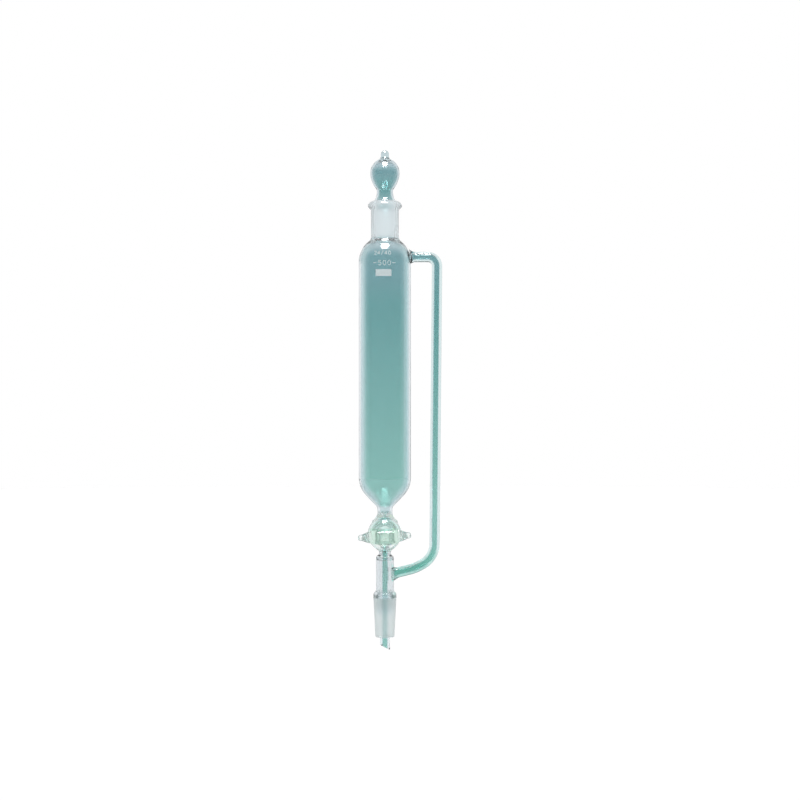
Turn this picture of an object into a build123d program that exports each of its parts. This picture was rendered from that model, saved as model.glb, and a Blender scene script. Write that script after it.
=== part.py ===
from build123d import *
import os
from math import cos, sin, tan, radians, sqrt

# ---------------------------------------------------------------------------
# Cylindrical dropping funnel with pressure-equalising side tube, 500 ml.
# Units: mm. +Z up. Origin: on the funnel's axis, in the gauge plane of the
# lower ground cone, where the cone is 24 mm across. +X: the side tube.
# -Y: the handle of the stopcock key.
# ---------------------------------------------------------------------------

# ground joints, 24/40, taper 1:10 on diameter
JOINT_R = 12.0            # radius at the large end
JOINT_LEN = 40.0
JOINT_SLOPE = 0.05        # radius change per mm
JOINT_GAP = 0.03          # ground faces of stopper and socket

# reservoir
BODY_R = 27.35            # outer radius
BODY_WALL = 1.9
BODY_RI = BODY_R - BODY_WALL
BODY_Z0 = 125.0           # lower end of the straight wall
BODY_Z1 = 354.0           # upper end of the straight wall

# socket on top
SOCKET_TOP = 416.6        # mouth, gauge plane of the socket
SOCKET_R = 14.6           # outer radius, straight, where a clamp grips
RIM_R = 17.8              # beaded rim

# neck and stopcock barrel
NECK_R = 7.9
NECK_RI = 5.4
STOP_Z = 70.0             # axis of the stopcock, along Y
BORE_R = 2.0              # 4 mm passage
BARREL_Y0 = -24.5         # mouth, large end
BARREL_Y1 = 23.5          # small end
SEAT_R = 12.5             # seat radius at the mouth
SEAT_SLOPE = 0.05
KEY_GAP = 0.05            # running clearance, radial

# stem: outer jacket and inner drip tube
JACKET_R = 9.4
JACKET_RI = 7.9
DRIP_R = 5.3
DRIP_RI = 2.9
TIP_Z_LOW = -54.2         # lowest point of the oblique cut, at +X
TIP_Z_HIGH = -48.8        # highest point of the oblique cut, at -X

# side tube
SIDE_R = 5.4
SIDE_RI = 2.8
SIDE_Z_TOP = 357.8        # upper arm
SIDE_X_TOP = 54.8         # centre of the vertical run, top
SIDE_X_BOT = 52.0         # centre of the vertical run, bottom

# stopcock key
KEY_TILT = 3.0            # the handle stands a little off level, degrees
HEAD_Y = -40.0            # centre of the blown head
HEAD_R = 17.35
HEAD_DEPTH = 12.5         # half depth of the head
HANDLE_Y = -48.0          # axis of the eared handle
HANDLE_DROP = 2.2         # the handle sits a little below the head's centre
HANDLE_HALF = 27.1        # half span over the ears
HANDLE_R = 7.6            # half thickness in the middle
KEY_Y_END = 31.0          # small end
GROOVE_Y0 = 24.05
GROOVE_Y1 = 27.45
GROOVE_R = 9.05

# outer wall of the shoulder and of the bottom, (radius, height)
SHOULDER = (
    (SOCKET_R, 379.5),
    (15.5, 375.9),
    (18.3, 373.0),
    (21.2, 370.2),
    (23.3, 367.1),
    (24.9, 363.9),
    (26.6, 359.2),
    (BODY_R, BODY_Z1),
)
BOTTOM = (
    (BODY_R, BODY_Z0),
    (25.95, 117.6),
    (24.0, 113.2),
    (21.2, 109.2),
    (17.9, 105.5),
    (14.4, 101.8),
    (11.3, 98.7),
    (9.0, 96.3),
    (NECK_R, 93.0),
)

os.makedirs("parts", exist_ok=True)

stop_axis = Axis((0, 0, STOP_Z), (0, 1, 0))


def seat_r(y):
    return SEAT_R - SEAT_SLOPE * (y - BARREL_Y0)


# route of the side tube in the XZ plane: out of the reservoir's shoulder,
# down beside it, and in a wide sweep back to the stem jacket
arm_slope = tan(radians(13.9))
weld_z = 25.6                      # where the arm's axis meets the jacket wall
low_c2 = (33.0, weld_z + (33.0 - JACKET_R) * arm_slope)
low_c1 = (SIDE_X_BOT, 43.0)
top_c = (SIDE_X_TOP, SIDE_Z_TOP)


def arm_z(x):
    return weld_z + (x - JACKET_R) * arm_slope


def inner_wall(points, steps, thickness):
    """Points inside a spline through these points, square to it."""
    outer = Spline(*points, tangents=((0, -1), (0, -1)), tangent_scalars=(1, 1))
    found = []
    for t in steps:
        at, way = outer @ t, outer % t
        d = thickness(t)
        found.append((at.X + way.Y * d, at.Y - way.X * d))
    return found


shoulder_in = inner_wall(
    SHOULDER,
    (0.26, 0.37, 0.48, 0.59, 0.7, 0.8, 0.9, 1.0),
    lambda t: BODY_WALL + max(0.0, 0.5 - t),
)
bottom_in = inner_wall(
    BOTTOM,
    (0.0, 0.12, 0.24, 0.36, 0.48, 0.6, 0.72, 0.84, 1.0),
    lambda t: BODY_WALL + (NECK_R - NECK_RI - BODY_WALL) * t,
)


# ------------------------------------------------------------- funnel body
with BuildPart() as funnel_body:
    # skin of the vessel, from the beaded rim down to the end of the cone
    with BuildSketch(Plane.XZ):
        with BuildLine():
            Line((0, SOCKET_TOP), (JOINT_R + 0.7, SOCKET_TOP))
            Spline(
                (JOINT_R + 0.7, SOCKET_TOP),
                (15.0, 415.5),
                (17.1, 413.6),
                (RIM_R, 411.4),
                (17.0, 409.2),
                (15.4, 407.8),
                (SOCKET_R, 406.2),
                tangents=((1, -0.1), (0, -1)), tangent_scalars=(1, 1),
            )
            Line((SOCKET_R, 406.2), (SOCKET_R, 379.5))
            Spline(*SHOULDER, tangents=((0, -1), (0, -1)), tangent_scalars=(1, 1))
            Line((BODY_R, BODY_Z1), (BODY_R, BODY_Z0))
            Spline(*BOTTOM, tangents=((0, -1), (0, -1)), tangent_scalars=(1, 1))
            Line((NECK_R, 93.0), (NECK_R, 89.5))
            Spline(
                (NECK_R, 89.5),
                (8.6, 86.4),
                (10.6, 83.4),
                (13.4, 81.0),
                tangents=((0, -1), (1, -0.6)), tangent_scalars=(1, 1),
            )
            Line((13.4, 81.0), (13.4, 58.0))
            Spline(
                (13.4, 58.0),
                (11.3, 53.9),
                (8.9, 51.2),
                (6.9, 49.6),
                (6.2, 48.0),
                tangents=((-0.5, -1), (0, -1)), tangent_scalars=(1, 1),
            )
            Line((6.2, 48.0), (6.2, 47.2))
            Spline(
                (6.2, 47.2),
                (6.9, 45.4),
                (8.7, 43.7),
                (JACKET_R, 41.4),
                tangents=((0, -1), (0, -1)), tangent_scalars=(1, 1),
            )
            Line((JACKET_R, 41.4), (JACKET_R, 9.2))
            Spline(
                (JACKET_R, 9.2),
                (9.95, 7.1),
                (11.3, 5.6),
                (JOINT_R + 0.1, 3.6),
                tangents=((0, -1), (0, -1)), tangent_scalars=(1, 1),
            )
            Line((JOINT_R + 0.1, 3.6), (JOINT_R + 0.1, 0.6))
            Line((JOINT_R + 0.1, 0.6), (JOINT_R, 0))
            Line(
                (JOINT_R, 0),
                (JOINT_R - JOINT_SLOPE * JOINT_LEN, -JOINT_LEN),
            )
            ThreePointArc(
                (JOINT_R - JOINT_SLOPE * JOINT_LEN, -JOINT_LEN),
                (9.6, -40.75),
                (8.9, -41.0),
            )
            Line((8.9, -41.0), (0, -41.0))
            Line((0, -41.0), (0, SOCKET_TOP))
        make_face()
    revolve(axis=Axis.Z)

    # stopcock barrel, with a bead at each end
    with BuildSketch(Plane.YZ):
        with BuildLine():
            Line((BARREL_Y0, STOP_Z), (BARREL_Y0, STOP_Z + 13.6))
            ThreePointArc(
                (BARREL_Y0, STOP_Z + 13.6),
                (BARREL_Y0 + 0.75, STOP_Z + 15.7),
                (BARREL_Y0 + 2.8, STOP_Z + 16.4),
            )
            Spline(
                (BARREL_Y0 + 2.8, STOP_Z + 16.4),
                (BARREL_Y0 + 5.4, STOP_Z + 15.7),
                (BARREL_Y0 + 8.4, STOP_Z + 15.1),
                tangents=((1, 0), (1, -0.06)), tangent_scalars=(1, 1),
            )
            Line(
                (BARREL_Y0 + 8.4, STOP_Z + 15.1),
                (BARREL_Y1 - 6.0, STOP_Z + 13.5),
            )
            Spline(
                (BARREL_Y1 - 6.0, STOP_Z + 13.5),
                (BARREL_Y1 - 3.8, STOP_Z + 13.7),
                (BARREL_Y1 - 1.9, STOP_Z + 14.1),
                tangents=((1, -0.06), (1, 0)), tangent_scalars=(1, 1),
            )
            ThreePointArc(
                (BARREL_Y1 - 1.9, STOP_Z + 14.1),
                (BARREL_Y1 - 0.5, STOP_Z + 13.5),
                (BARREL_Y1, STOP_Z + 12.1),
            )
            Line((BARREL_Y1, STOP_Z + 12.1), (BARREL_Y1, STOP_Z))
            Line((BARREL_Y1, STOP_Z), (BARREL_Y0, STOP_Z))
        make_face()
    revolve(axis=stop_axis)

    # side tube, outside
    with BuildLine() as side_route:
        FilletPolyline(
            (BODY_RI + 0.2, SIDE_Z_TOP),
            top_c,
            low_c1,
            low_c2,
            (JACKET_RI - 0.6, arm_z(JACKET_RI - 0.6)),
            radius=[9.5, 24.0, 48.0],
        )
    side_wire = side_route.wires()[0]
    side_path = Plane.XZ * side_wire
    with BuildSketch(Plane(side_path @ 0, z_dir=side_path % 0)):
        Circle(SIDE_R)
    sweep(path=side_path)

    # glass drawn out around both ends of the side tube, where it is sealed on
    with BuildSketch(Plane.XZ.offset(0)):
        with BuildLine():
            Line((BODY_RI + 0.3, SIDE_Z_TOP), (BODY_RI + 0.3, SIDE_Z_TOP + 8.4))
            Spline(
                (BODY_RI + 0.3, SIDE_Z_TOP + 8.4),
                (BODY_R + 1.3, SIDE_Z_TOP + 6.2),
                (BODY_R + 4.6, SIDE_Z_TOP + SIDE_R - 0.02),
                tangents=((0.7, -1), (1, 0)), tangent_scalars=(1, 1),
            )
            Line(
                (BODY_R + 4.6, SIDE_Z_TOP + SIDE_R - 0.02),
                (BODY_R + 4.6, SIDE_Z_TOP),
            )
            Line((BODY_R + 4.6, SIDE_Z_TOP), (BODY_RI + 0.3, SIDE_Z_TOP))
        make_face()
    revolve(axis=Axis((0, 0, SIDE_Z_TOP), (1, 0, 0)))

    arm_dir = Vector(cos(radians(13.9)), 0, sin(radians(13.9)))
    arm_foot = Vector(JACKET_RI + 0.3, 0, arm_z(JACKET_RI + 0.3))
    arm_plane = Plane(
        origin=arm_foot,
        x_dir=arm_dir,
        z_dir=Vector(0, -1, 0),
    )
    with BuildSketch(arm_plane):
        with BuildLine():
            Line((0, 0), (0, 7.8))
            Spline(
                (0, 7.8),
                (2.9, 6.3),
                (6.4, SIDE_R - 0.02),
                tangents=((0.6, -1), (1, 0)), tangent_scalars=(1, 1),
            )
            Line((6.4, SIDE_R - 0.02), (6.4, 0))
            Line((6.4, 0), (0, 0))
        make_face()
    revolve(axis=Axis(arm_foot, arm_dir))

    # drip tube below the cone, outside
    with BuildSketch(Plane.XY.offset(-60)):
        Circle(DRIP_R)
    extrude(amount=30)

    # inside of the socket and of the reservoir, down to the stopcock's port
    with BuildSketch(Plane.XZ):
        with BuildLine():
            Line((0, SOCKET_TOP + 1), (JOINT_R + 0.5, SOCKET_TOP + 1))
            Line((JOINT_R + 0.5, SOCKET_TOP + 1), (JOINT_R + 0.5, SOCKET_TOP))
            ThreePointArc(
                (JOINT_R + 0.5, SOCKET_TOP),
                (JOINT_R + 0.12, SOCKET_TOP - 0.2),
                (JOINT_R - JOINT_SLOPE * 0.6, SOCKET_TOP - 0.6),
            )
            Line(
                (JOINT_R - JOINT_SLOPE * 0.6, SOCKET_TOP - 0.6),
                (JOINT_R - JOINT_SLOPE * JOINT_LEN, SOCKET_TOP - JOINT_LEN),
            )
            Spline(
                (JOINT_R - JOINT_SLOPE * JOINT_LEN, SOCKET_TOP - JOINT_LEN),
                *shoulder_in,
                tangents=((0.8, -1), (0, -1)), tangent_scalars=(1, 1),
            )
            Line((BODY_RI, BODY_Z1), (BODY_RI, BODY_Z0))
            Spline(*bottom_in, tangents=((0, -1), (0, -1)), tangent_scalars=(1, 1))
            Line((NECK_RI, 93.0), (NECK_RI, 91.5))
            Spline(
                (NECK_RI, 91.5),
                (4.4, 88.9),
                (BORE_R, 86.6),
                tangents=((0, -1), (-1, -0.5)), tangent_scalars=(1, 1),
            )
            Line((BORE_R, 86.6), (BORE_R, STOP_Z))
            Line((BORE_R, STOP_Z), (0, STOP_Z))
            Line((0, STOP_Z), (0, SOCKET_TOP + 1))
        make_face()
    revolve(axis=Axis.Z, mode=Mode.SUBTRACT)

    # ground seat of the stopcock
    with BuildSketch(Plane.YZ):
        with BuildLine():
            Polyline(
                (BARREL_Y0 - 1, STOP_Z),
                (BARREL_Y0 - 1, STOP_Z + seat_r(BARREL_Y0 - 1)),
                (BARREL_Y1 + 1, STOP_Z + seat_r(BARREL_Y1 + 1)),
                (BARREL_Y1 + 1, STOP_Z),
                close=True,
            )
        make_face()
    revolve(axis=stop_axis, mode=Mode.SUBTRACT)

    # space between jacket and drip tube, closed above by the ring seal
    with BuildSketch(Plane.XZ):
        with BuildLine():
            Line((DRIP_R, -42.0), (DRIP_R, 41.2))
            ThreePointArc(
                (DRIP_R, 41.2),
                ((DRIP_R + JACKET_RI) / 2 - 0.1, 43.2),
                (JACKET_RI, 39.8),
            )
            Line((JACKET_RI, 39.8), (JACKET_RI, 8.2))
            Spline(
                (JACKET_RI, 8.2),
                (8.3, 5.0),
                (9.2, 2.2),
                (9.3, -1.0),
                tangents=((0, -1), (-0.02, -1)), tangent_scalars=(1, 1),
            )
            Line((9.3, -1.0), (8.0, -41.2))
            Line((8.0, -41.2), (8.0, -42.0))
            Line((8.0, -42.0), (DRIP_R, -42.0))
        make_face()
    revolve(axis=Axis.Z, mode=Mode.SUBTRACT)

    # bore of the drip tube
    with BuildSketch(Plane.XZ):
        with BuildLine():
            Polyline(
                (0, STOP_Z),
                (BORE_R, STOP_Z),
                (BORE_R, 49.0),
                (DRIP_RI, 46.4),
                (DRIP_RI, -61.0),
                (0, -61.0),
                close=True,
            )
        make_face()
    revolve(axis=Axis.Z, mode=Mode.SUBTRACT)

    # oblique cut of the drip tip
    with BuildSketch(Plane.XZ):
        slope = (TIP_Z_LOW - TIP_Z_HIGH) / (2 * DRIP_R)
        with BuildLine():
            Polyline(
                (-10, TIP_Z_HIGH + slope * (-10 + DRIP_R)),
                (10, TIP_Z_HIGH + slope * (10 + DRIP_R)),
                (10, -65),
                (-10, -65),
                close=True,
            )
        make_face()
    extrude(amount=10, both=True, mode=Mode.SUBTRACT)

    # bore of the side tube, open into the reservoir and into the jacket
    with BuildLine() as bore_route:
        FilletPolyline(
            (BODY_RI - 6.0, SIDE_Z_TOP),
            top_c,
            low_c1,
            low_c2,
            (6.4, arm_z(6.4)),
            radius=[9.5, 24.0, 48.0],
        )
    bore_wire = bore_route.wires()[0]
    bore_path = Plane.XZ * bore_wire
    with BuildSketch(Plane(bore_path @ 0, z_dir=bore_path % 0)):
        Circle(SIDE_RI)
    sweep(path=bore_path, mode=Mode.SUBTRACT)

# ----------------------------------------------------------------- stopper
PLUG_TOP = SOCKET_TOP - 0.9


def plug_r(z):
    return JOINT_R - JOINT_SLOPE * (SOCKET_TOP - z) - JOINT_GAP


with BuildPart() as stopper:
    with BuildSketch(Plane.XZ):
        with BuildLine():
            # solid knob
            Spline(
                (0, 469.9),
                (2.5, 469.1),
                (4.15, 466.6),
                (4.3, 464.2),
                (4.5, 462.2),
                (6.0, 460.5),
                tangents=((1, 0), (1, -0.6)), tangent_scalars=(1, 1),
            )
            # ball head
            Spline(
                (6.0, 460.5),
                (8.8, 458.8),
                (12.2, 455.4),
                (14.5, 451.3),
                (15.35, 446.9),
                (15.2, 443.0),
                (14.1, 438.5),
                (12.4, 434.4),
                (10.3, 430.8),
                (8.75, 428.6),
                (8.4, 426.6),
                tangents=((1, -0.6), (0, -1)), tangent_scalars=(1, 1),
            )
            # waist, shoulder and ground cone
            Spline(
                (8.4, 426.6),
                (8.8, 423.0),
                (9.8, 419.4),
                (plug_r(PLUG_TOP), PLUG_TOP),
                tangents=((0, -1), (0.45, -1)), tangent_scalars=(1, 1),
            )
            Line(
                (plug_r(PLUG_TOP), PLUG_TOP),
                (plug_r(377.2), 377.2),
            )
            Spline(
                (plug_r(377.2), 377.2),
                (9.0, 374.4),
                (5.8, 372.6),
                (0, 371.9),
                tangents=((-0.05, -1), (-1, 0)), tangent_scalars=(1, 1),
            )
            Line((0, 371.9), (0, 469.9))
        make_face()
    revolve(axis=Axis.Z)
    # blown hollow
    with BuildSketch(Plane.XZ):
        with BuildLine():
            Spline(
                (0, 457.6),
                (4.2, 457.3),
                (8.5, 455.9),
                (11.6, 452.7),
                (13.2, 449.2),
                (13.55, 446.3),
                (13.3, 442.9),
                (12.3, 439.0),
                (10.6, 435.2),
                (8.4, 431.4),
                (6.9, 428.6),
                (6.5, 426.2),
                tangents=((1, 0), (0, -1)), tangent_scalars=(1, 1),
            )
            Spline(
                (6.5, 426.2),
                (7.1, 422.3),
                (8.4, 418.3),
                (9.85, 413.5),
                tangents=((0, -1), (0.2, -1)), tangent_scalars=(1, 1),
            )
            Line((9.85, 413.5), (8.3, 378.6))
            Spline(
                (8.3, 378.6),
                (7.2, 376.1),
                (4.4, 374.5),
                (0, 373.9),
                tangents=((-0.05, -1), (-1, 0)), tangent_scalars=(1, 1),
            )
            Line((0, 373.9), (0, 457.6))
        make_face()
    revolve(axis=Axis.Z, mode=Mode.SUBTRACT)

# ------------------------------------------------------------ stopcock key
def key_r(y):
    return seat_r(y) - KEY_GAP


handle_x = (cos(radians(KEY_TILT)), 0, sin(radians(KEY_TILT)))
handle_origin = (
    HANDLE_DROP * sin(radians(KEY_TILT)),
    HANDLE_Y,
    STOP_Z - HANDLE_DROP * cos(radians(KEY_TILT)),
)
cross_plane = Plane(origin=(0, 0, STOP_Z), x_dir=(0, 1, 0), z_dir=handle_x)

with BuildPart() as stopcock_key:
    # tapered plug, waist and blown head
    with BuildSketch(Plane.YZ):
        with BuildLine():
            Line((KEY_Y_END, STOP_Z), (KEY_Y_END, STOP_Z + 8.2))
            ThreePointArc(
                (KEY_Y_END, STOP_Z + 8.2),
                (KEY_Y_END - 0.45, STOP_Z + key_r(KEY_Y_END) - 0.45),
                (KEY_Y_END - 1.5, STOP_Z + key_r(KEY_Y_END - 1.5)),
            )
            Line(
                (KEY_Y_END - 1.5, STOP_Z + key_r(KEY_Y_END - 1.5)),
                (GROOVE_Y1, STOP_Z + key_r(GROOVE_Y1)),
            )
            Line((GROOVE_Y1, STOP_Z + key_r(GROOVE_Y1)), (GROOVE_Y1, STOP_Z + GROOVE_R))
            Line((GROOVE_Y1, STOP_Z + GROOVE_R), (GROOVE_Y0, STOP_Z + GROOVE_R))
            Line((GROOVE_Y0, STOP_Z + GROOVE_R), (GROOVE_Y0, STOP_Z + key_r(GROOVE_Y0)))
            Line(
                (GROOVE_Y0, STOP_Z + key_r(GROOVE_Y0)),
                (BARREL_Y0 - 1.2, STOP_Z + key_r(BARREL_Y0 - 1.2)),
            )
            Spline(
                (BARREL_Y0 - 1.2, STOP_Z + key_r(BARREL_Y0 - 1.2)),
                (-28.0, STOP_Z + 10.6),
                (-29.6, STOP_Z + 9.6),
                (-30.9, STOP_Z + 11.2),
                tangents=((-1, 0.05), (-1, 1.9)), tangent_scalars=(1, 1),
            )
            Spline(
                (-30.9, STOP_Z + 11.2),
                (-33.6, STOP_Z + 14.9),
                (HEAD_Y, STOP_Z + HEAD_R),
                (-46.2, STOP_Z + 15.1),
                (-50.3, STOP_Z + 10.0),
                (HEAD_Y - HEAD_DEPTH, STOP_Z),
                tangents=((-1, 1.9), (0, -1)), tangent_scalars=(1, 1),
            )
            Line((HEAD_Y - HEAD_DEPTH, STOP_Z), (KEY_Y_END, STOP_Z))
        make_face()
    revolve(axis=stop_axis)

    # eared handle across the front of the head
    with BuildSketch(Plane(origin=handle_origin, x_dir=handle_x, z_dir=(0, -1, 0))):
        with BuildLine():
            Line((-HANDLE_HALF, 0), (-HANDLE_HALF, 0.7))
            ThreePointArc(
                (-HANDLE_HALF, 0.7),
                (-HANDLE_HALF + 0.7, 2.4),
                (-HANDLE_HALF + 2.4, 3.1),
            )
            Spline(
                (-HANDLE_HALF + 2.4, 3.1),
                (-20.5, 4.4),
                (-15.6, 6.0),
                (-9.0, 7.2),
                (0, HANDLE_R),
                (9.0, 7.2),
                (15.6, 6.0),
                (20.5, 4.4),
                (HANDLE_HALF - 2.4, 3.1),
                tangents=((1, 0.05), (1, -0.05)), tangent_scalars=(1, 1),
            )
            ThreePointArc(
                (HANDLE_HALF - 2.4, 3.1),
                (HANDLE_HALF - 0.7, 2.4),
                (HANDLE_HALF, 0.7),
            )
            Line((HANDLE_HALF, 0.7), (HANDLE_HALF, 0))
            Line((HANDLE_HALF, 0), (-HANDLE_HALF, 0))
        make_face()
    revolve(axis=Axis(handle_origin, handle_x))

    # blown hollow of head and plug
    with BuildSketch(Plane.YZ):
        with BuildLine():
            Line((28.4, STOP_Z), (28.4, STOP_Z + 4.6))
            Spline(
                (28.4, STOP_Z + 4.6),
                (27.2, STOP_Z + 6.5),
                (24.4, STOP_Z + 7.2),
                tangents=((0, 1), (-1, 0.05)), tangent_scalars=(1, 1),
            )
            Line((24.4, STOP_Z + 7.2), (-22.6, STOP_Z + 9.9))
            Spline(
                (-22.6, STOP_Z + 9.9),
                (-25.2, STOP_Z + 9.3),
                (-27.6, STOP_Z + 8.0),
                (-29.8, STOP_Z + 7.5),
                (-31.8, STOP_Z + 9.1),
                (-34.6, STOP_Z + 12.9),
                (HEAD_Y, STOP_Z + HEAD_R - 2.0),
                (-45.0, STOP_Z + 13.2),
                (-48.6, STOP_Z + 8.4),
                (HEAD_Y - HEAD_DEPTH + 2.0, STOP_Z),
                tangents=((-1, 0.05), (0, -1)), tangent_scalars=(1, 1),
            )
            Line((HEAD_Y - HEAD_DEPTH + 2.0, STOP_Z), (28.4, STOP_Z))
        make_face()
    revolve(axis=stop_axis, mode=Mode.SUBTRACT)

    # cross tube, in line with the handle
    with BuildSketch(cross_plane):
        Circle(BORE_R + 2.0)
    extrude(amount=10.3, both=True)
    with BuildSketch(cross_plane):
        Circle(BORE_R)
    extrude(amount=20, both=True, mode=Mode.SUBTRACT)

# --------------------------------------------------------- retaining ring
with BuildPart() as key_retaining_ring:
    with BuildSketch(Plane.YZ):
        with Locations(((GROOVE_Y0 + GROOVE_Y1) / 2, STOP_Z + GROOVE_R + 0.02 + 2.1)):
            RectangleRounded(GROOVE_Y1 - GROOVE_Y0 - 0.1, 4.2, 1.2)
    revolve(axis=stop_axis)

# ------------------------------------------------------------------ output
funnel_body.part.label = "funnel_body"
stopper.part.label = "stopper"
stopcock_key.part.label = "stopcock_key"
key_retaining_ring.part.label = "key_retaining_ring"

export_step(funnel_body.part, "parts/funnel_body.step")
export_step(stopper.part, "parts/stopper.step")
export_step(stopcock_key.part, "parts/stopcock_key.step")
export_step(key_retaining_ring.part, "parts/key_retaining_ring.step")
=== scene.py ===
import bmesh
import bpy
import math
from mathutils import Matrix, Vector
from mathutils.bvhtree import BVHTree


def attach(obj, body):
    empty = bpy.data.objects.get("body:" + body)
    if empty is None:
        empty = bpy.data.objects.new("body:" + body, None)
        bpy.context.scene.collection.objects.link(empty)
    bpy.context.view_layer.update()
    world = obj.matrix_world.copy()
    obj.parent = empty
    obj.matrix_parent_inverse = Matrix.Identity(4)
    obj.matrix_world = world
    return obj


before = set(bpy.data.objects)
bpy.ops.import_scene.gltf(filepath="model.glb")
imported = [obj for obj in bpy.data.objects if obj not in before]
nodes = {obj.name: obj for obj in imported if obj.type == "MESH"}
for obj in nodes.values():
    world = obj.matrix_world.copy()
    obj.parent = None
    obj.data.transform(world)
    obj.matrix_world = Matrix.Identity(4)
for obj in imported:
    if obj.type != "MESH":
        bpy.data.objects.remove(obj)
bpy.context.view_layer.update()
scene = bpy.context.scene


# ---------------------------------------------------------------------------
# node graph helper
# ---------------------------------------------------------------------------
class Graph:
    def __init__(self, tree):
        self.tree = tree
        tree.nodes.clear()

    def new(self, kind, **props):
        n = self.tree.nodes.new(kind)
        for k, v in props.items():
            setattr(n, k, v)
        return n

    def put(self, socket, value):
        if isinstance(value, bpy.types.NodeSocket):
            self.tree.links.new(value, socket)
        elif isinstance(value, (tuple, list)) and socket.type == "RGBA" and len(value) == 3:
            socket.default_value = (*value, 1.0)
        else:
            socket.default_value = value

    def math(self, op, a, b=None, c=None, clamp=False):
        n = self.new("ShaderNodeMath", operation=op, use_clamp=clamp)
        for i, v in enumerate((a, b, c)):
            if v is not None:
                self.put(n.inputs[i], v)
        return n.outputs[0]

    def add(self, a, b):
        return self.math("ADD", a, b)

    def sub(self, a, b):
        return self.math("SUBTRACT", a, b)

    def mul(self, a, b):
        return self.math("MULTIPLY", a, b)

    def inv(self, a):
        return self.math("SUBTRACT", 1.0, a)

    def least(self, a, b):
        return self.math("MINIMUM", a, b)

    def most(self, a, b):
        return self.math("MAXIMUM", a, b)

    def hyp(self, a, b):
        return self.math("SQRT", self.add(self.mul(a, a), self.mul(b, b)))

    def ramp(self, v, x0, x1, y0=0.0, y1=1.0, smooth=True):
        """y0 below x0, y1 above x1, eased between."""
        n = self.new(
            "ShaderNodeMapRange",
            interpolation_type="SMOOTHSTEP" if smooth else "LINEAR",
            clamp=True,
        )
        for i, w in enumerate((v, x0, x1, y0, y1)):
            self.put(n.inputs[i], w)
        return n.outputs[0]

    def band(self, v, a, b, soft):
        """1 between a and b, easing to 0 over soft outside them."""
        return self.mul(self.ramp(v, a - soft, a), self.ramp(v, b, b + soft, 1.0, 0.0))

    def curve(self, v, points):
        """Straight-line table from v to a value, over real ranges."""
        xs = [p[0] for p in points]
        ys = [p[1] for p in points]
        x0, x1, y0, y1 = min(xs), max(xs), min(ys), max(ys)
        n = self.new("ShaderNodeFloatCurve")
        cur = n.mapping.curves[0]
        norm = sorted(((x - x0) / (x1 - x0), (y - y0) / ((y1 - y0) or 1.0)) for x, y in points)
        while len(cur.points) < len(norm):
            cur.points.new(0.5, 0.5)
        for p, (x, y) in zip(cur.points, norm):
            p.location = (x, y)
            p.handle_type = "VECTOR"
        n.mapping.use_clip = False
        n.mapping.update()
        self.put(n.inputs["Value"], self.ramp(v, x0, x1, smooth=False))
        return self.ramp(n.outputs[0], 0.0, 1.0, y0, y1, smooth=False)

    def mix(self, fac, a, b):
        n = self.new("ShaderNodeMix", data_type="RGBA")
        self.put(n.inputs[0], fac)
        self.put(n.inputs[6], a)
        self.put(n.inputs[7], b)
        return n.outputs[2]

    def noise(self, vec, scale, detail=2.0, rough=0.5):
        n = self.new("ShaderNodeTexNoise")
        self.put(n.inputs["Vector"], vec)
        n.inputs["Scale"].default_value = scale
        n.inputs["Detail"].default_value = detail
        n.inputs["Roughness"].default_value = rough
        return n.outputs[0]


def material(name):
    m = bpy.data.materials.new(name)
    m.use_nodes = True
    g = Graph(m.node_tree)
    out = g.new("ShaderNodeOutputMaterial")
    bsdf = g.new("ShaderNodeBsdfPrincipled")
    g.tree.links.new(bsdf.outputs[0], out.inputs[0])
    return m, g, bsdf


def place_mm(g):
    """Object coordinates in millimetres: vector, x, y, z."""
    tc = g.new("ShaderNodeTexCoord")
    sc = g.new("ShaderNodeVectorMath", operation="SCALE")
    g.put(sc.inputs[0], tc.outputs["Object"])
    sc.inputs["Scale"].default_value = 1000.0
    sep = g.new("ShaderNodeSeparateXYZ")
    g.put(sep.inputs[0], sc.outputs[0])
    return sc.outputs[0], sep.outputs[0], sep.outputs[1], sep.outputs[2]


def wear(node, mat):
    node.data.materials.clear()
    node.data.materials.append(mat)


# ---------------------------------------------------------------------------
# glass
# ---------------------------------------------------------------------------
SKIN = (0.79, 0.85, 0.88)          # outer skin, both crossings together
CLEAR = (0.97, 0.98, 0.98)
TEAL_TOP = (0.221, 0.41, 0.435)    # inner skin, upper end
TEAL_MID = (0.175, 0.408, 0.403)
TEAL_LOW = (0.307, 0.595, 0.533)   # inner skin, lower end
TEAL_EDGE_SHEEN = (0.60, 0.76, 0.77)     # inner skin where it is met at a low angle; paler there as painted reflection of the white surroundings
IOR = 1.47

# middle of the wall, radius over height, from the tip to the rim
MID_WALL = [
    (-60, 4.0), (40, 4.0), (46, 4.4), (49, 4.0), (58, 4.6), (80, 5.0),
    (86.6, 5.2), (88.9, 6.2), (91.5, 6.7), (94.4, 7.1), (97.6, 8.7),
    (100.4, 11.3), (103.7, 14.6), (107.3, 18.0), (110.9, 20.9),
    (114.8, 23.5), (119.2, 25.3), (126.5, 26.4), (351, 26.4),
    (356.2, 26.1), (360.6, 25.0), (364.8, 23.1), (368.4, 20.8),
    (371.4, 17.2), (373.9, 14.2), (376.6, 12.6), (380, 12.4),
    (406, 13.0), (412, 14.0), (416.6, 14.0),
]


def glass_base(bsdf):
    bsdf.inputs["Transmission Weight"].default_value = 1.0
    bsdf.inputs["IOR"].default_value = IOR
    bsdf.inputs["Metallic"].default_value = 0.0


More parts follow.
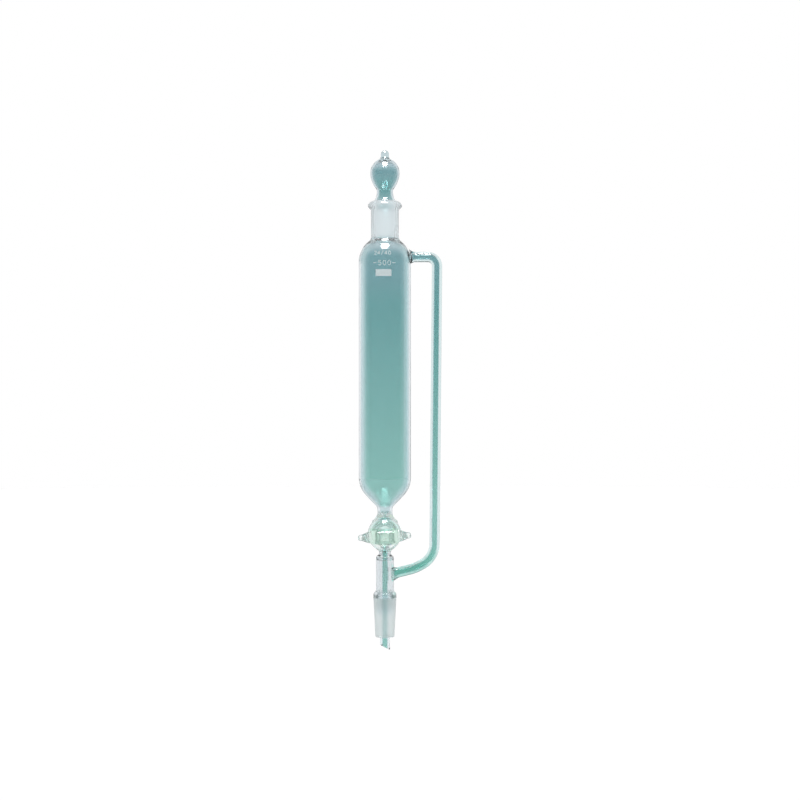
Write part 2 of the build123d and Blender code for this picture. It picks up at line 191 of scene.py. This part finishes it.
def slant(g):
    """0 where a bore is met squarely, 1 where it is met at a low angle."""
    lw = g.new("ShaderNodeLayerWeight")
    lw.inputs["Blend"].default_value = 0.5
    back = g.new("ShaderNodeNewGeometry").outputs["Backfacing"]
    from_glass = g.ramp(lw.outputs["Facing"], 0.12, 0.24)
    from_air = g.ramp(lw.outputs["Facing"], 0.28, 0.60)
    return g.add(g.mul(back, from_glass), g.mul(g.inv(back), from_air))


def funnel_glass():
    m, g, bsdf = material("funnel_glass")
    glass_base(bsdf)
    vec, x, y, z = place_mm(g)
    r = g.hyp(x, y)

    # reservoir, neck and drip bore: inside the middle of the wall
    mid = g.curve(z, MID_WALL)
    inside = g.math("LESS_THAN", r, mid)

    # side tube: distance from its centre line, run by run
    run = g.add(52.0, g.mul(g.sub(z, 43.0), 2.8 / 314.8))
    d_run = g.hyp(g.sub(x, run), y)
    bend = g.hyp(g.math("ABSOLUTE", g.sub(g.hyp(g.sub(x, 45.3), g.sub(z, 348.3)), 9.5)), y)
    d_arm = g.hyp(g.sub(z, 357.8), y)
    top = g.math("GREATER_THAN", z, 348.3)
    past = g.math("GREATER_THAN", x, 45.3)
    d_top = g.add(g.mul(past, bend), g.mul(g.inv(past), d_arm))
    low_z = g.curve(x, LOW_ARM)
    low_s = g.curve(x, LOW_ARM_COS)
    d_low = g.hyp(g.mul(g.sub(z, low_z), low_s), y)
    low_x = g.curve(z, LOW_RUN)
    low_c = g.curve(z, LOW_RUN_COS)
    d_bend = g.hyp(g.mul(g.sub(x, low_x), low_c), y)
    d_foot = g.least(d_low, d_bend)
    under = g.math("LESS_THAN", z, 68.0)
    d = g.add(g.mul(top, d_top), g.mul(g.inv(top), d_run))
    d = g.add(g.mul(under, d_foot), g.mul(g.inv(under), d))
    side_zone = g.math(
        "GREATER_THAN", x, g.ramp(z, 60.0, 100.0, 9.6, 28.4, smooth=False)
    )
    side_in = g.mul(side_zone, g.math("LESS_THAN", d, 4.1))
    main_in = g.mul(g.inv(side_zone), inside)

    # stopcock barrel and its ground seat
    rb = g.hyp(x, g.sub(z, 70.0))
    barrel = g.math("LESS_THAN", rb, 17.6)
    seat = g.mul(
        g.math("LESS_THAN", rb, 12.95),
        g.math("LESS_THAN", g.math("ABSOLUTE", y), 24.55),
    )

    # space between jacket and drip tube
    annulus = g.mul(
        g.mul(g.math("LESS_THAN", z, 44.0), g.math("GREATER_THAN", z, -41.5)),
        g.mul(g.math("GREATER_THAN", r, 4.0), g.math("LESS_THAN", r, 8.75)),
    )

    teal = g.mix(
        g.ramp(z, 300.0, 350.0),
        g.mix(g.ramp(z, 110.0, 300.0, smooth=False), TEAL_LOW, TEAL_MID),
        TEAL_TOP,
    )
    colour_fac = g.mul(
        g.most(main_in, side_in),
        g.inv(g.mul(g.math("GREATER_THAN", z, 376.2), g.inv(side_zone))),
    )
    # painted light: the neck is paler, with less teal
    neck = g.mul(g.band(z, 83.0, 95.0, 5.0), g.inv(side_zone))
    colour_fac = g.mul(colour_fac, g.inv(g.mul(neck, 0.75)))
    # painted highlight: less teal across the top of the shoulder, a bright ring under the socket
    crown_highlight = g.mul(g.ramp(z, 360.0, 371.0), g.inv(side_zone))
    colour_fac = g.mul(colour_fac, g.inv(g.mul(crown_highlight, 0.72)))
    # painted light: the drip bore is paler where the frosted cone covers it
    tail = g.mul(g.ramp(z, 0.0, 9.0, 1.0, 0.0), g.ramp(z, -44.0, -40.0))
    colour_fac = g.mul(colour_fac, g.inv(g.mul(tail, 0.62)))
    # painted reflection: the inner skin is paler where the view meets it at a low angle
    teal = g.mix(slant(g), teal, TEAL_EDGE_SHEEN)
    # outer skin: painted shade, darker where the shoulder, the bowl's lower bend and
    # the collar turn away from the view; greener on the lower sweep of the side tube
    rim_lw = g.new("ShaderNodeLayerWeight")
    rim_lw.inputs["Blend"].default_value = 0.5
    turn = g.ramp(rim_lw.outputs["Facing"], 0.28, 0.65)
    bends = g.most(g.band(z, 354.0, 374.0, 6.0), g.band(z, 98.0, 116.0, 8.0))
    bends = g.mul(bends, g.inv(side_zone))
    skin = g.mix(g.mul(g.mul(turn, bends), 0.75), SKIN, (0.30, 0.44, 0.46))
    skin = g.mix(side_zone, skin, (0.70, 0.82, 0.83))
    skin = g.mix(g.mul(side_zone, g.ramp(z, 34.0, 60.0, 1.0, 0.0)), skin, (0.56, 0.79, 0.75))
    weld = g.mul(g.band(z, 18.0, 34.0, 3.0), g.ramp(x, 6.0, 9.5))
    skin = g.mix(g.mul(weld, g.math("LESS_THAN", z, 45.0)), skin, (0.44, 0.70, 0.66))
    jacket = g.mul(g.band(z, 4.0, 48.0, 1.0), g.ramp(x, 8.0, 11.0, 1.0, 0.0))
    skin = g.mix(g.mul(jacket, g.inv(weld)), skin, (0.71, 0.76, 0.79))
    cone_zone = g.mul(g.band(z, -40.4, -0.2, 0.5), g.math("GREATER_THAN", r, 8.9))
    skin = g.mix(cone_zone, skin, (0.69, 0.75, 0.755))
    # painted shade: the collar darkens where it turns away from the view
    collar = g.mul(g.band(z, 0.6, 3.6, 0.8), g.math("GREATER_THAN", r, 7.4))
    skin = g.mix(g.mul(collar, g.ramp(rim_lw.outputs["Facing"], 0.08, 0.28)), skin, (0.25, 0.30, 0.30))
    base = g.mix(colour_fac, skin, teal)
    base = g.mix(g.mul(annulus, g.inv(side_zone)), base, CLEAR)
    tap = g.mul(barrel, g.ramp(g.math("ABSOLUTE", y), 27.0, 30.0, 1.0, 0.0))
    base = g.mix(g.mul(tap, g.inv(main_in)), base, (0.92, 0.96, 0.95))
    base = g.mix(seat, base, CLEAR)
    socket_in = g.mul(g.math("GREATER_THAN", z, 376.2), inside)
    base = g.mix(socket_in, base, CLEAR)
    g.put(bsdf.inputs["Base Color"], base)

    # ground surfaces: socket, lower cone, stopcock seat
    cone = g.mul(g.band(z, -40.4, -0.2, 0.5), g.math("GREATER_THAN", r, 8.9))
    socket = g.mul(g.ramp(z, 376.4, 377.4), inside)
    frost = g.most(g.most(cone, socket), seat)
    grain = g.noise(vec, 1.6, 3.0)
    rough = g.mul(frost, g.add(0.34, g.mul(grain, 0.12)))
    g.put(bsdf.inputs["Roughness"], rough)

    # blown wall: slow waves; ground zones: fine grain
    wave = g.noise(vec, 0.05, 1.0)
    fine = g.noise(vec, 2.4, 2.0)
    wave = g.mul(wave, g.inv(g.mul(side_zone, 0.8)))
    height = g.add(g.mul(wave, 0.25), g.mul(g.mul(fine, frost), 0.02))
    bump = g.new("ShaderNodeBump")
    bump.inputs["Strength"].default_value = 0.25
    bump.inputs["Distance"].default_value = 0.001
    g.put(bump.inputs["Height"], height)
    g.put(bsdf.inputs["Normal"], bump.outputs[0])
    return m


# centre line of the side tube's lower sweep: height over x for the arm, x over
# height for the run, and the cosine that turns each offset into a distance
def sweep_centre():
    slope = math.tan(math.radians(13.9))
    c2 = Vector((33.0, 25.6 + (33.0 - 9.4) * slope))
    c1 = Vector((52.0, 43.0))
    c0 = Vector((54.8, 357.8))
    c3 = Vector((7.3, 25.6 + (7.3 - 9.4) * slope))

    def arc(a, p, b, rad):
        u = (a - p).normalized()
        v = (b - p).normalized()
        half = math.acos(max(-1.0, min(1.0, u.dot(v)))) / 2
        reach = rad / math.tan(half)
        start, end = p + u * reach, p + v * reach
        centre = p + (u + v).normalized() * (rad / math.sin(half))
        a0 = math.atan2(start.y - centre.y, start.x - centre.x)
        a1 = math.atan2(end.y - centre.y, end.x - centre.x)
        while a1 - a0 > math.pi:
            a1 -= 2 * math.pi
        while a0 - a1 > math.pi:
            a1 += 2 * math.pi
        return [
            centre + Vector((math.cos(a0 + (a1 - a0) * i / 12), math.sin(a0 + (a1 - a0) * i / 12))) * rad
            for i in range(13)
        ]

    pts = [c0] + arc(c0, c1, c2, 24.0) + arc(c1, c2, c3, 48.0) + [c3]
    return pts


PATH = sweep_centre()


def table(points, key, val, lo, hi):
    """val over key along the path, with the cosine of the slope."""
    vals, coss = [], []
    for a, b in zip(points, points[1:]):
        n = 3
        for i in range(n + 1):
            p = a.lerp(b, i / n)
            if lo <= p[key] <= hi:
                t = (b - a).normalized()
                vals.append((p[key], p[val]))
                coss.append((p[key], abs(t[key])))

    def thin(seq):
        seq = sorted(seq)
        out = [seq[0]]
        for q in seq[1:]:
            if q[0] - out[-1][0] > (hi - lo) / 26:
                out.append(q)
        return out

    return thin(vals), thin(coss)


LOW_ARM, LOW_ARM_COS = table(PATH, 0, 1, 7.0, 47.5)
LOW_RUN, LOW_RUN_COS = table(PATH, 1, 0, 34.5, 70.0)


def stopper_glass():
    m, g, bsdf = material("stopper_glass")
    glass_base(bsdf)
    vec, x, y, z = place_mm(g)
    r = g.hyp(x, y)
    mid = g.curve(z, [
        (370, 0.0), (372.9, 4.0), (375.2, 7.4), (377, 8.9), (413.5, 10.9),
        (418, 9.2), (422.3, 8.0), (426.4, 7.45), (428.6, 7.8), (431, 9.3),
        (435, 11.6), (438.7, 13.2), (442.9, 14.2), (446.5, 14.45),
        (450, 13.9), (453.5, 12.4), (456, 10.2), (457.8, 7.6), (458.2, 5.5),
        (459.2, 0.0), (471, 0.0),
    ])
    inside = g.math("LESS_THAN", r, mid)
    head = g.ramp(z, 400.0, 429.0)
    teal = g.mix(g.ramp(z, 430.0, 450.0), TEAL_MID, TEAL_TOP)
    # painted reflection at half strength: paler where the view meets the bore at a low angle
    teal = g.mix(g.mul(slant(g), 0.5), teal, TEAL_EDGE_SHEEN)
    # painted highlight: the top of the head is paler, as light from above falls on it
    teal = g.mix(g.ramp(z, 449.0, 456.0), teal, (0.70, 0.80, 0.84))
    # painted shade: the head's outer skin darkens where it turns away from the view
    rim_lw = g.new("ShaderNodeLayerWeight")
    rim_lw.inputs["Blend"].default_value = 0.5
    turn = g.mul(g.ramp(rim_lw.outputs["Facing"], 0.20, 0.42), g.ramp(z, 418.0, 424.0))
    skin = g.mix(turn, SKIN, (0.47, 0.58, 0.62))
    knob = g.ramp(z, 458.0, 461.0)
    skin = g.mix(knob, skin, (0.56, 0.67, 0.70))
    base = g.mix(g.mul(inside, head), skin, teal)
    base = g.mix(g.inv(g.ramp(z, 413.0, 417.0)), base, CLEAR)
    g.put(bsdf.inputs["Base Color"], base)
    ground = g.mul(g.band(z, 377.2, 415.6, 0.3), g.inv(inside))
    grain = g.noise(vec, 1.6, 3.0)
    g.put(bsdf.inputs["Roughness"], g.mul(ground, g.add(0.30, g.mul(grain, 0.12))))
    wave = g.noise(vec, 0.08, 1.0)
    fine = g.noise(vec, 2.4, 2.0)
    bump = g.new("ShaderNodeBump")
    bump.inputs["Strength"].default_value = 0.3
    bump.inputs["Distance"].default_value = 0.001
    g.put(bump.inputs["Height"], g.add(g.mul(wave, 0.4), g.mul(g.mul(fine, ground), 0.02)))
    g.put(bsdf.inputs["Normal"], bump.outputs[0])
    return m


def key_glass():
    m, g, bsdf = material("key_glass")
    glass_base(bsdf)
    bsdf.inputs["IOR"].default_value = 1.36
    vec, x, y, z = place_mm(g)
    dz = g.sub(z, 70.0)
    rb = g.hyp(x, dz)
    mid = g.curve(y, [
        (-53, 0.0), (-51.6, 0.0), (-51.0, 6.0), (-49.3, 9.3), (-45.4, 14.2),
        (-40, 16.35), (-34, 13.8), (-31.2, 10.1), (-29.2, 8.5), (-26.3, 10.6),
        (-23, 11.2), (24, 8.3), (27.8, 7.3), (28.4, 5.0), (29.5, 0.0), (31, 0.0),
    ])
    inside = g.math("LESS_THAN", rb, mid)
    # painted light: the lower half of the bore is near clear, lit from below; the upper half is teal
    teal = g.mix(g.ramp(dz, -2.0, 9.0), (0.95, 0.98, 0.97), (0.74, 0.90, 0.88))
    green = (0.50, 0.73, 0.60)
    handle = g.mul(
        g.band(y, -56.5, -40.5, 0.6),
        g.math("LESS_THAN", g.hyp(g.add(dz, 2.2), g.add(y, 48.0)), 8.3),
    )
    middle = g.ramp(g.math("ABSOLUTE", x), 13.0, 18.0, 1.0, 0.0)
    # painted shade: the outer skin darkens where it turns away from the view
    rim_lw = g.new("ShaderNodeLayerWeight")
    rim_lw.inputs["Blend"].default_value = 0.5
    turn = g.ramp(rim_lw.outputs["Facing"], 0.25, 0.60)
    skin = g.mix(turn, (0.90, 0.94, 0.93), (0.60, 0.73, 0.71))
    skin = g.mix(g.mul(handle, middle), skin, green)
    base = g.mix(inside, skin, teal)
    g.put(bsdf.inputs["Base Color"], base)
    ground = g.mul(g.band(y, -25.4, 23.9, 0.3), g.inv(inside))
    grain = g.noise(vec, 1.6, 3.0)
    haze = g.mul(inside, g.math("LESS_THAN", y, -27.0))
    rough = g.mul(ground, g.add(0.30, g.mul(grain, 0.12)))
    g.put(bsdf.inputs["Roughness"], g.add(rough, g.mul(haze, g.add(0.08, g.mul(grain, 0.08)))))
    wave = g.noise(vec, 0.08, 1.0)
    bump = g.new("ShaderNodeBump")
    bump.inputs["Strength"].default_value = 0.3
    bump.inputs["Distance"].default_value = 0.001
    g.put(bump.inputs["Height"], g.mul(wave, 0.4))
    g.put(bsdf.inputs["Normal"], bump.outputs[0])
    return m


def ring_rubber():
    m, g, bsdf = material("ring_rubber")
    vec, x, y, z = place_mm(g)
    n = g.noise(vec, 0.5, 3.0)
    base = g.mix(n, (0.80, 0.80, 0.72), (0.92, 0.92, 0.86))
    g.put(bsdf.inputs["Base Color"], base)
    g.put(bsdf.inputs["Roughness"], g.add(0.42, g.mul(n, 0.16)))
    bsdf.inputs["Subsurface Weight"].default_value = 0.2
    bsdf.inputs["Subsurface Radius"].default_value = (0.002, 0.002, 0.0015)
    bump = g.new("ShaderNodeBump")
    bump.inputs["Strength"].default_value = 0.2
    bump.inputs["Distance"].default_value = 0.0005
    g.put(bump.inputs["Height"], g.noise(vec, 3.0, 2.0))
    g.put(bsdf.inputs["Normal"], bump.outputs[0])
    return m


wear(nodes["funnel_body"], funnel_glass())
wear(nodes["stopper"], stopper_glass())
wear(nodes["stopcock_key"], key_glass())
wear(nodes["key_retaining_ring"], ring_rubber())


# ---------------------------------------------------------------------------
# white enamel print on the front of the reservoir: plain numbers, two dashes
# and a bare field
# ---------------------------------------------------------------------------
def arc_points(cx, cy, rx, ry, a0, a1, n=14):
    return [
        (cx + rx * math.cos(math.radians(a0 + (a1 - a0) * i / n)),
         cy + ry * math.sin(math.radians(a0 + (a1 - a0) * i / n)))
        for i in range(n + 1)
    ]


# strokes of each figure in a box 0.62 wide and 1 high
FIGURES = {
    "0": [arc_points(0.31, 0.5, 0.25, 0.45, 90, 450, 28)],
    "2": [arc_points(0.31, 0.70, 0.24, 0.25, 165, -25, 14) + [(0.07, 0.05), (0.57, 0.05)]],
    "4": [[(0.42, 0.05), (0.42, 0.95), (0.05, 0.32), (0.58, 0.32)]],
    "5": [[(0.52, 0.95), (0.13, 0.95), (0.09, 0.54)]
          + arc_points(0.29, 0.34, 0.26, 0.29, 125, -150, 18)],
    "/": [[(0.10, 0.0), (0.50, 1.0)]],
    "-": [[(0.02, 0.5), (0.60, 0.5)]],
}


def strokes_of(text, x_mid, z_mid, high, pitch, stretch=1.0):
    """Strokes in millimetres across the front, centred on x_mid, z_mid."""
    found = []
    wide = high * 0.62 * stretch
    start = x_mid - (pitch * (len(text) - 1) + wide) / 2
    for i, ch in enumerate(text):
        for line in FIGURES[ch]:
            found.append([
                (start + i * pitch + u * high * stretch, z_mid - high / 2 + v * high)
                for u, v in line
            ])
    return found


def ribbon(bm, line, width, wrap):
    """A flat stroke of even width along a line, cut finely enough to bend."""
    fine = [line[0]]
    for a, b in zip(line, line[1:]):
        n = max(1, math.ceil(math.dist(a, b) / 0.5))
        fine += [(a[0] + (b[0] - a[0]) * i / n, a[1] + (b[1] - a[1]) * i / n) for i in range(1, n + 1)]
    pairs = []
    for i, p in enumerate(fine):
        a, b = fine[max(i - 1, 0)], fine[min(i + 1, len(fine) - 1)]
        t = Vector((b[0] - a[0], b[1] - a[1])).normalized()
        side = Vector((-t.y, t.x)) * width / 2
        pairs.append((
            bm.verts.new(wrap(p[0] + side.x, p[1] + side.y)),
            bm.verts.new(wrap(p[0] - side.x, p[1] - side.y)),
        ))
    for (a, b), (c, d) in zip(pairs, pairs[1:]):
        bm.faces.new((a, b, d, c))


def patch(bm, x0, x1, z0, z1, wrap, step=0.6):
    nx = max(1, math.ceil((x1 - x0) / step))
    nz = max(1, math.ceil((z1 - z0) / step))
    grid = [
        [bm.verts.new(wrap(x0 + (x1 - x0) * i / nx, z0 + (z1 - z0) * k / nz)) for i in range(nx + 1)]
        for k in range(nz + 1)
    ]
    for k in range(nz):
        for i in range(nx):
            bm.faces.new((grid[k][i], grid[k][i + 1], grid[k + 1][i + 1], grid[k + 1][i]))


def enamel():
    m, g, bsdf = material("print_enamel")
    vec, x, y, z = place_mm(g)
    grain = g.noise(vec, 1.4, 3.0)
    g.put(bsdf.inputs["Base Color"], g.mix(grain, (0.90, 0.93, 0.93), (0.98, 0.99, 0.99)))
    g.put(bsdf.inputs["Roughness"], g.add(0.50, g.mul(grain, 0.25)))
    bsdf.inputs["Transmission Weight"].default_value = 0.42
    bsdf.inputs["IOR"].default_value = 1.2
    bump = g.new("ShaderNodeBump")
    bump.inputs["Strength"].default_value = 0.2
    bump.inputs["Distance"].default_value = 0.0002
    g.put(bump.inputs["Height"], g.noise(vec, 4.0, 2.0))
    g.put(bsdf.inputs["Normal"], bump.outputs[0])
    return m


body_mesh = nodes["funnel_body"].data
wall = BVHTree.FromPolygons(
    [v.co.copy() for v in body_mesh.vertices], [tuple(p.vertices) for p in body_mesh.polygons]
)


def on_wall(x_mm, z_mm):
    """Point 0.03 mm off the outer wall, x_mm round the front from its middle."""
    a = x_mm / 27.35
    out = Vector((math.sin(a), -math.cos(a), 0.0))
    start = out * 0.040 + Vector((0, 0, z_mm / 1000))
    hit, normal, index, far = wall.ray_cast(start, -out, 0.05)
    return hit + out * 0.00003


def print_piece(name, strokes, width, fields, mat):
    bm = bmesh.new()
    for s in strokes:
        ribbon(bm, s, width, on_wall)
    for f in fields:
        patch(bm, *f, on_wall)
    mesh = bpy.data.meshes.new(name)
    bm.to_mesh(mesh)
    bm.free()
    for poly in mesh.polygons:
        poly.use_smooth = True
    mesh.materials.append(mat)
    o = bpy.data.objects.new(name, mesh)
    scene.collection.objects.link(o)
    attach(o, "funnel")
    return o


ink = enamel()
print_piece("joint_size_print", strokes_of("24/40", -2.6, 360.4, 4.2, 3.9, 1.2), 0.55, [], ink)
print_piece(
    "capacity_print",
    strokes_of("-500-", -0.3, 350.0, 5.4, 5.0, 1.1),
    0.65,
    [(-9.6, 7.0, 336.2, 343.2)],
    ink,
)


# ---------------------------------------------------------------------------
# stage: pale floor, soft light all round, darker overhead
# ---------------------------------------------------------------------------
FLOOR_Z = -0.16
bpy.ops.mesh.primitive_circle_add(vertices=96, radius=6.0, fill_type="NGON", location=(0, 0, FLOOR_Z))
floor = bpy.context.object
floor.name = "floor"
m, g, bsdf = material("floor_paper")
vec, x, y, z = place_mm(g)
tone = g.noise(vec, 0.004, 2.0)
paper = g.mix(tone, (0.93, 0.93, 0.93), (0.97, 0.97, 0.97))
# painted shade: the floor turns mid grey where it is seen in reflections
seen = g.new("ShaderNodeLightPath").outputs["Is Reflection Ray"]
g.put(bsdf.inputs["Base Color"], g.mix(seen, paper, (0.52, 0.52, 0.52)))
bsdf.inputs["Roughness"].default_value = 0.9
bsdf.inputs["Specular IOR Level"].default_value = 0.1
wear(floor, m)

world = bpy.data.worlds.new("studio")
scene.world = world
world.use_nodes = True
g = Graph(world.node_tree)
out = g.new("ShaderNodeOutputWorld")
tc = g.new("ShaderNodeTexCoord")
sep = g.new("ShaderNodeSeparateXYZ")
g.put(sep.inputs[0], tc.outputs["Generated"])
dx, dy, dz = sep.outputs
lp = g.new("ShaderNodeLightPath")
overhead = g.ramp(dz, 0.55, 0.82, 1.0, 0.22)
front = g.ramp(dy, -0.42, -0.12, 0.10, 0.66)
gloss = g.mul(front, overhead)
mirror = lp.outputs["Is Reflection Ray"]
level = g.add(g.mul(mirror, gloss), g.mul(g.inv(mirror), overhead))
level = g.most(level, lp.outputs["Is Camera Ray"])
level = g.most(level, g.mul(lp.outputs["Is Diffuse Ray"], 1.1))
bg = g.new("ShaderNodeBackground")
bg.inputs["Color"].default_value = (1.0, 1.0, 1.0, 1.0)
g.put(bg.inputs["Strength"], level)
g.tree.links.new(bg.outputs[0], out.inputs[0])


def softbox(name, at, aim, size, power):
    light = bpy.data.lights.new(name, "AREA")
    light.shape = "RECTANGLE"
    light.size, light.size_y = size
    light.energy = power
    o = bpy.data.objects.new(name, light)
    scene.collection.objects.link(o)
    o.location = at
    o.rotation_euler = (Vector(aim) - Vector(at)).to_track_quat("-Z", "Y").to_euler()
    o.visible_camera = o.visible_diffuse = False
    return o


softbox("soft_top", (0.0, -0.33, 1.30), (0, 0, 0.36), (0.50, 0.56), 26.0)
low = softbox("soft_low", (-0.14, -0.21, -0.14), (-0.02, -0.05, 0.44), (0.26, 0.36), 3.6)
only = bpy.data.collections.new("lit_by_soft_low")
only.objects.link(nodes["stopper"])
low.light_linking.receiver_collection = only
low.visible_transmission = False

# ---------------------------------------------------------------------------
# camera: level, straight from the front
# ---------------------------------------------------------------------------
cam = bpy.data.cameras.new("camera")
cam.sensor_width = 36.0
cam.lens = 36.0 * 1.95 / 0.84
cam.clip_start, cam.clip_end = 0.05, 50.0
eye = bpy.data.objects.new("camera", cam)
scene.collection.objects.link(eye)
eye.location = (0.01586, -1.950, 0.2077)
eye.rotation_euler = (math.radians(90), 0, 0)
scene.camera = eye

scene.view_settings.view_transform = "Standard"
scene.view_settings.look = "None"
scene.cycles.max_bounces = 32
scene.cycles.transmission_bounces = 32
scene.cycles.glossy_bounces = 12
scene.cycles.transparent_max_bounces = 16
scene.cycles.use_denoising = True
scene.cycles.blur_glossy = 0.0
